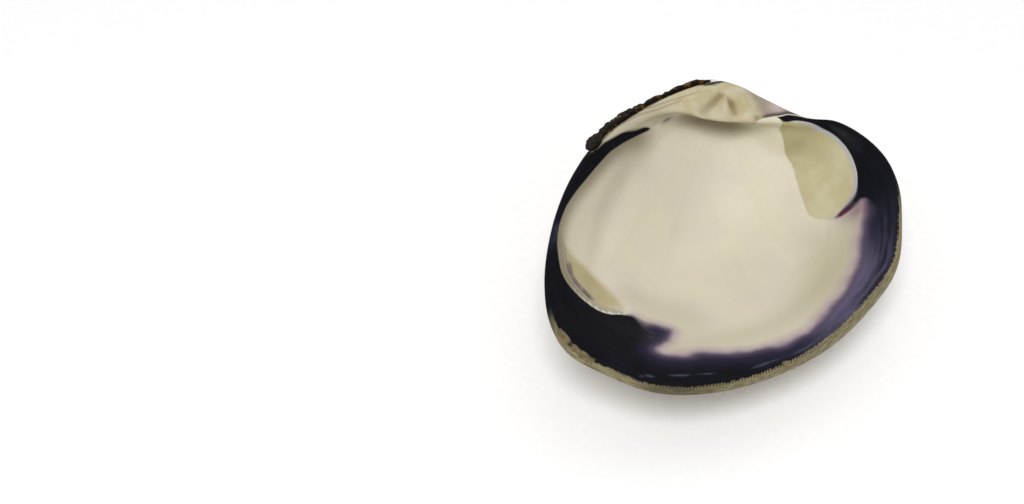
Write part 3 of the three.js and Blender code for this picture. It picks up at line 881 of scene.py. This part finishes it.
class Paint:
    """A procedural material, put together one node at a time."""

    def __init__(self, name):
        self.material = bpy.data.materials.new(name)
        self.material.use_nodes = True
        self.tree = self.material.node_tree
        self.shader = self.tree.nodes["Principled BSDF"]

    def node(self, kind, inputs, **settings):
        node = self.tree.nodes.new(kind)
        for name, value in settings.items():
            setattr(node, name, value)
        for key, value in inputs.items():
            self.put(node.inputs[key], value)
        return node

    def put(self, socket, value):
        if isinstance(value, bpy.types.NodeSocket):
            self.tree.links.new(value, socket)
        else:
            socket.default_value = value

    def field(self, name):
        return self.node("ShaderNodeAttribute", {}, attribute_name=name).outputs["Fac"]

    def flow(self):
        """The place across and along the rim that streaks follow."""
        return self.node("ShaderNodeAttribute", {}, attribute_name="flow").outputs["Vector"]

    def place(self, stretch=(1, 1, 1)):
        where = self.node("ShaderNodeTexCoord", {}).outputs["Object"]
        return self.node("ShaderNodeMapping", {"Vector": where, "Scale": stretch}).outputs["Vector"]

    def noise(self, pitch_mm, detail=3, where=None):
        """Soft noise from 0 to 1 with lumps of about the given size."""
        inputs = {"Vector": where or self.place(), "Scale": 1 / (pitch_mm * MM), "Detail": detail}
        return self.node("ShaderNodeTexNoise", inputs).outputs["Fac"]

    def streaks(self, pitch_mm, detail=4):
        """Noise drawn out along the rim, like lines of growth."""
        inputs = {"Vector": self.flow(), "Scale": 1 / pitch_mm, "Detail": detail}
        return self.node("ShaderNodeTexNoise", inputs).outputs["Fac"]

    def growth(self, pitch_mm, wander_mm):
        """Lines of growth all round the outside, from 0 to 1, that wander by about so much."""
        wander = self.within(self.noise(14), 0.2, 0.8, -wander_mm, wander_mm)
        inputs = {"W": self.sum(self.field("inset"), wander), "Scale": 1 / pitch_mm, "Detail": 3}
        return self.node("ShaderNodeTexNoise", inputs, noise_dimensions="1D").outputs["Fac"]

    def sum(self, a, b):
        return self.node("ShaderNodeMath", {0: a, 1: b}, operation="ADD").outputs[0]

    def times(self, a, b):
        return self.node("ShaderNodeMath", {0: a, 1: b}, operation="MULTIPLY").outputs[0]

    def within(self, value, low, high, to_low=0.0, to_high=1.0):
        """A smooth step from one result to another as the value passes from low to high."""
        inputs = {"Value": value, "From Min": low, "From Max": high, "To Min": to_low, "To Max": to_high}
        return self.node("ShaderNodeMapRange", inputs, interpolation_type="SMOOTHSTEP").outputs[0]

    def mix(self, share, a, b):
        node = self.node("ShaderNodeMix", {0: share, 6: a, 7: b}, data_type="RGBA")
        return node.outputs[2]

    def bump(self, height, distance_mm, strength=1.0):
        inputs = {"Height": height, "Distance": distance_mm * MM, "Strength": strength}
        self.put(self.shader.inputs["Normal"], self.node("ShaderNodeBump", inputs).outputs["Normal"])

    def finish(self, colour, roughness):
        self.put(self.shader.inputs["Base Color"], colour)
        self.put(self.shader.inputs["Roughness"], roughness)
        return self.material


def cream_colour(p):
    """Porcelain cream in patches, with faint rays from the beak, the pallial line, painted shade in the
    pocket under the plate and a pink corner.
    """
    cream = p.mix(p.within(p.noise(16), 0.35, 0.65), CREAM, CREAM_PINK)
    cream = p.mix(p.within(p.noise(6), 0.45, 0.8, 0, 0.4), cream, CREAM_YELLOW)
    rays = p.node("ShaderNodeTexNoise", {"W": p.field("ray"), "Scale": 14}, noise_dimensions="1D")
    cream = p.mix(p.within(rays.outputs["Fac"], 0.5, 0.75, 0, 0.12), cream, CREAM_SHADE)
    cream = p.mix(p.field("strip"), cream, CREAM_STRIP)
    cream = p.mix(p.within(p.field("pallial"), 0.1, 0.8, 0.3, 0), cream, SCAR_OLIVE)
    # painted shade: olive darkening deep in the pocket under the hinge plate
    cream = p.mix(p.times(p.field("pocket"), 0.55), cream, POCKET_PAINTED_SHADE)
    cream = p.mix(p.times(p.field("tip"), 0.85), cream, LUNULE_PURPLE)
    return p.mix(p.times(p.field("pink"), 0.95), cream, PINK)


def rear_scar_colour(p, cream):
    """The rear muscle scar: yellowish, with pale grey lines and a purple crescent along its outer edge."""
    yellow = p.mix(p.within(p.noise(5), 0.2, 0.8, 0, 0.6), SCAR_YELLOW, SCAR_PALE)
    colour = p.mix(p.within(p.field("rear_scar"), 0.2, 3, 0, 0.95), cream, yellow)
    edge = p.sum(p.field("rear_edge"), p.within(p.noise(4, 1), 0.3, 0.7, -0.1, 0.1))
    crescent = p.times(p.within(edge, 1.5, 1.8), p.within(edge, 2.7, 3.3, 1, 0))
    crescent = p.times(crescent, p.within(p.field("crescent"), 0.3, 0.9, 0, 0.85))
    thin = p.times(p.within(edge, 1.5, 1.7), p.within(edge, 1.8, 2.1, 0.45, 0))
    colour = p.mix(p.sum(crescent, thin), colour, PURPLE)
    lines = p.node("ShaderNodeTexNoise", {"W": edge, "Scale": 3}, noise_dimensions="1D").outputs["Fac"]
    grey = p.mix(p.within(lines, 0.4, 0.6), SCAR_GREY, SCAR_PALE)
    return p.mix(p.within(edge, 1.2, 1.8, 0.9, 0), colour, grey)


def scar_colour(p, cream):
    """The front muscle scar: olive, darker towards the hinge with painted shade, and with a pale grey rim on
    its outer side.
    """
    scar = p.field("front_scar")
    olive = p.mix(p.within(p.noise(5), 0.3, 0.7), SCAR_OLIVE, SCAR_PALE)
    # painted shade: the scar darker towards the hinge, under the front of the plate
    olive = p.mix(p.times(p.field("scar_top"), 0.7), olive, SCAR_PAINTED_SHADE)
    rim = p.times(p.within(scar, -0.9, -0.4), p.field("scar_rim"))
    cream = p.mix(rim, cream, SCAR_RIM)
    return p.mix(p.within(scar, -0.15, 0.35), cream, olive)


def band_colour(p):
    """The dark band: black and navy, with slate streaks along the rim and one thin painted blue highlight
    along the belly edge.
    """
    band = p.mix(p.within(p.field("slate"), 0.0, 0.35), p.mix(p.noise(4), BLACK, NAVY), NAVY)
    streaks = p.within(p.streaks(0.9, 3), 0.38, 0.7, 0.15, 1)
    slate = p.times(streaks, p.within(p.field("slate"), 0.1, 1.0, 0.02, 0.9))
    band = p.mix(slate, band, SLATE)
    # painted highlight: a thin blue line along the shoulder inside the belly edge
    line = p.sum(p.field("blue"), p.within(p.noise(5), 0.3, 0.7, -0.1, 0.15))
    return p.mix(p.within(line, 0.05, 0.6, 0.5, 0), band, HIGHLIGHT_BLUE)


def hinge_colour(p):
    """The hinge plate: tan and cream, with olive sockets and lines, a grey and lilac lunule and a painted
    black shadow in the crevice behind the beak.
    """
    plate = p.mix(p.within(p.noise(5), 0.35, 0.65), PLATE_TAN, PLATE_PALE)
    plate = p.mix(p.times(p.field("rear"), 0.8), plate, NYMPH_GREY)
    plate = p.mix(p.within(p.field("socket"), 0.1, 1.3, 0, 0.75), plate, OLIVE_BROWN)
    plate = p.mix(p.within(p.field("nymph"), 0.1, 0.5, 0.4, 0), plate, OLIVE_BROWN)
    plate = p.mix(p.times(p.field("brown"), 0.7), plate, OLIVE_BROWN)
    lunule = p.mix(p.field("lilac"), LUNULE_GREY, LUNULE_LILAC)
    lunule = p.mix(p.within(p.field("hinge"), 0.5, 1.6, 0.9, 0), lunule, LUNULE_PURPLE)
    plate = p.mix(p.field("lunule"), plate, lunule)
    # painted shadow: horn black where the crevice behind the beak lies in shade
    return p.mix(p.field("crevice_shadow"), plate, HORN_BLACK)


def lip_colour(p):
    """The tan lip, with fine lines of growth."""
    lines = p.within(p.streaks(0.22, 2), 0.35, 0.65)
    return p.mix(lines, p.mix(p.noise(2), LIP_TAN, LIP_OLIVE), LIP_PALE)


def fringed(p, cream):
    """The cream turns through lilac and purple into the dark band where its edge is soft."""
    dark = p.sum(p.field("dark"), p.within(p.noise(6, 1), 0.25, 0.75, -0.12, 0.12))
    soft = p.field("soft")
    purple = p.mix(p.field("red"), PURPLE, MAROON)
    colour = p.mix(p.times(p.within(dark, -0.85, 0.05, 0, 0.85), soft), cream, LILAC)
    colour = p.mix(p.times(p.within(dark, -0.2, 0.4), p.sum(soft, p.field("red"))), colour, purple)
    dusk = p.mix(p.within(p.field("slate"), 0.4, 1), DUSK, LAVENDER)
    colour = p.mix(p.times(p.within(dark, 0.15, 0.8), soft), colour, dusk)
    end = p.sum(p.times(soft, 1.1), 0.9)
    share = p.node("ShaderNodeMath", {0: dark, 1: end}, operation="DIVIDE").outputs[0]
    return p.mix(p.within(share, 0.1, 1.0), colour, band_colour(p))


def lipped(p, colour):
    """The lip's tan meets the dark band at the crest, in the notches of the fine teeth."""
    ragged = p.sum(p.field("inset"), p.within(p.noise(0.9), 0.3, 0.7, -0.2, 0.2))
    ragged = p.sum(ragged, p.within(p.field("slate"), 0.1, 0.9, 0, -0.7))
    lip = p.times(p.within(ragged, 1.0, 1.5, 1, 0), p.field("tan"))
    lip = p.times(lip, p.within(p.field("notch"), 0.1, 0.9, 1, 0.3))
    colour = p.mix(lip, colour, lip_colour(p))
    chipped = p.mix(p.within(p.noise(1.2), 0.4, 0.6), CHIP_CREAM, LIP_OLIVE)
    return p.mix(p.within(p.field("chip"), 0.35, 0.6), colour, chipped)


def inside_material():
    p = Paint("shell_inside")
    # painted shade: the cream darkens towards its steep rear edge
    cream = p.mix(p.field("shade"), rear_scar_colour(p, cream_colour(p)), CREAM_PAINTED_SHADE)
    cream = scar_colour(p, cream)
    colour = p.mix(p.within(p.field("hinge"), -0.1, 0.3), fringed(p, cream), hinge_colour(p))
    grain = p.sum(p.times(p.noise(0.3, 2), 0.3), p.streaks(0.5))
    p.bump(grain, 0.012)
    gloss = p.within(p.field("dark"), 0, 1, 0.16, 0.05)
    p.put(p.shader.inputs["Specular IOR Level"], gloss)
    return p.finish(lipped(p, colour), p.within(p.noise(2), 0.3, 0.7, 0.36, 0.46))


def outside_material():
    p = Paint("shell_outside")
    chalk = p.mix(p.within(p.growth(7, 0.9), 0.3, 0.7), CHALK, CHALK_BROWN)
    chalk = p.mix(p.within(p.growth(1.1, 0.5), 0.45, 0.7, 0, 0.65), chalk, CHALK_GREY)
    chalk = p.mix(p.within(p.noise(9), 0.5, 0.75, 0, 0.6), chalk, CHALK_WHITE)
    colour = p.mix(p.within(p.field("inset"), -60, -85), chalk, CHALK_WHITE)
    colour = p.mix(p.within(p.field("inset"), -5, -0.5), colour, lip_colour(p))
    # painted shadow: the outside just below the worn stretch of the rim is darkened
    painted_shadow = p.times(p.within(p.field("inset"), -12, -2), p.field("worn"))
    colour = p.mix(p.times(painted_shadow, 0.8), colour, LIP_PAINTED_SHADOW)
    grain = p.sum(p.times(p.noise(0.4, 4), 0.4), p.growth(0.7, 0.3))
    p.bump(grain, 0.1)
    return p.finish(colour, p.within(p.noise(1.5), 0.3, 0.7, 0.55, 0.75))


def ligament_material():
    p = Paint("ligament_fibre")
    fibres = p.noise(0.5, 5, p.place((0.25, 1, 1)))
    colour = p.mix(p.within(fibres, 0.4, 0.65), HORN_BLACK, HORN_BROWN)
    colour = p.mix(p.within(p.noise(1.9, 4), 0.58, 0.68, 0, 0.8), colour, HORN_AMBER)
    p.bump(fibres, 0.2)
    p.shader.inputs["Specular IOR Level"].default_value = 0.2
    return p.finish(colour, p.within(p.noise(0.8), 0.3, 0.7, 0.55, 0.8))


def floor_material():
    p = Paint("floor_paper")
    colour = p.mix(p.noise(2), FLOOR_PALE, FLOOR_WHITE)
    return p.finish(colour, 0.85)


def add_floor():
    bpy.ops.mesh.primitive_plane_add(size=FLOOR_SIZE)
    floor = bpy.context.object
    floor.name = "floor"
    floor.data.materials.append(floor_material())


def add_softbox(name, place, size, power):
    light = bpy.data.lights.new(name, "AREA")
    light.shape = "DISK"
    light.size = size
    light.energy = power
    lamp = bpy.data.objects.new(name, light)
    lamp.location = place
    lamp.rotation_mode = "QUATERNION"
    lamp.rotation_quaternion = (-Vector(place)).to_track_quat("-Z", "Y")
    bpy.context.collection.objects.link(lamp)


def add_light():
    add_softbox("key_light", *KEY_LIGHT)
    add_softbox("fill_light", *FILL_LIGHT)
    world = bpy.data.worlds.new("studio")
    bpy.context.scene.world = world
    world.use_nodes = True
    sky = world.node_tree.nodes["Background"]
    sky.inputs["Color"].default_value = (1, 1, 1, 1)
    sky.inputs["Strength"].default_value = SKY_STRENGTH
    bpy.context.scene.view_settings.view_transform = "Standard"


def add_camera():
    azimuth = math.radians(CAMERA_AZIMUTH)
    elevation = math.radians(CAMERA_ELEVATION)
    right = Vector((math.cos(azimuth), math.sin(azimuth), 0))
    level = Vector((-math.sin(azimuth), math.cos(azimuth), 0))
    forward = level * math.cos(elevation) - Vector((0, 0, math.sin(elevation)))
    up = right.cross(forward)
    focal = IMAGE[0] / 2 / math.tan(math.radians(CAMERA_ANGLE) / 2)
    across = (SEEN_PIXEL[0] - IMAGE[0] / 2) / focal
    down = (SEEN_PIXEL[1] - IMAGE[1] / 2) / focal
    ray = forward + right * across - up * down
    data = bpy.data.cameras.new("camera")
    data.sensor_fit = "HORIZONTAL"
    data.angle = math.radians(CAMERA_ANGLE)
    data.clip_start = 0.01
    camera = bpy.data.objects.new("camera", data)
    camera.location = Vector(to_frame(SEEN_POINT)) - ray * CAMERA_DEPTH * MM
    camera.rotation_mode = "QUATERNION"
    camera.rotation_quaternion = forward.to_track_quat("-Z", "Y")
    bpy.context.collection.objects.link(camera)
    bpy.context.scene.camera = camera


columns = rim_columns()
valve = build_valve(columns)
valve.data.materials.append(inside_material())
valve.data.materials.append(outside_material())
ligament = build_ligament(columns)
ligament.data.materials.append(ligament_material())
for piece, node, slot in ((valve, "valve", "shell"), (ligament, "ligament", "ligament")):
    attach(piece, "root")
    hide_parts(node)
add_floor()
add_light()
add_camera()
